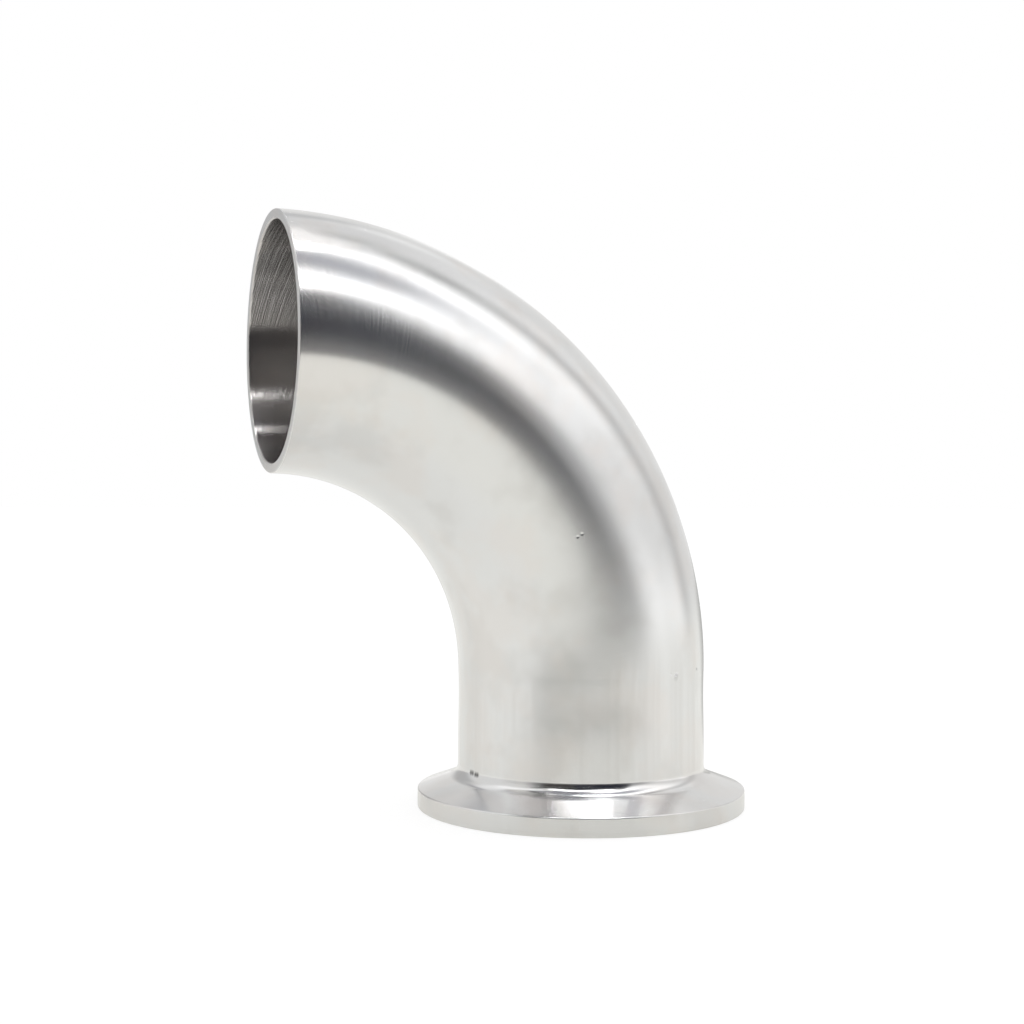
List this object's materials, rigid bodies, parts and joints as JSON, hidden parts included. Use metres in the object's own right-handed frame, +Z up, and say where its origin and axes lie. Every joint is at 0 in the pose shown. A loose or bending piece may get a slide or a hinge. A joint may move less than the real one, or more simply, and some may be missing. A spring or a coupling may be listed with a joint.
{
  "type": "ninety degree elbow",
  "caption": "Right-angle elbow in polished stainless tube, with a clamp ferrule at its foot and a plain weld end at the top of a smooth bend.",
  "frame": {"origin": "centre of the clamp face, which the elbow stands on", "axes": "+Z up the neck's axis, away from the clamp face; -X the way the plain end opens; XZ is the plane of the bend"},
  "size_m": [0.0738, 0.0504, 0.089],
  "materials": {
    "polished_tube": "fine belt polish outside, ground bore",
    "turned_ferrule": "fine turned, polished cone"
  },
  "bodies": {
    "root": {"bend_tube": "polished_tube", "clamp_ferrule": "turned_ferrule"}
  },
  "joints": []
}
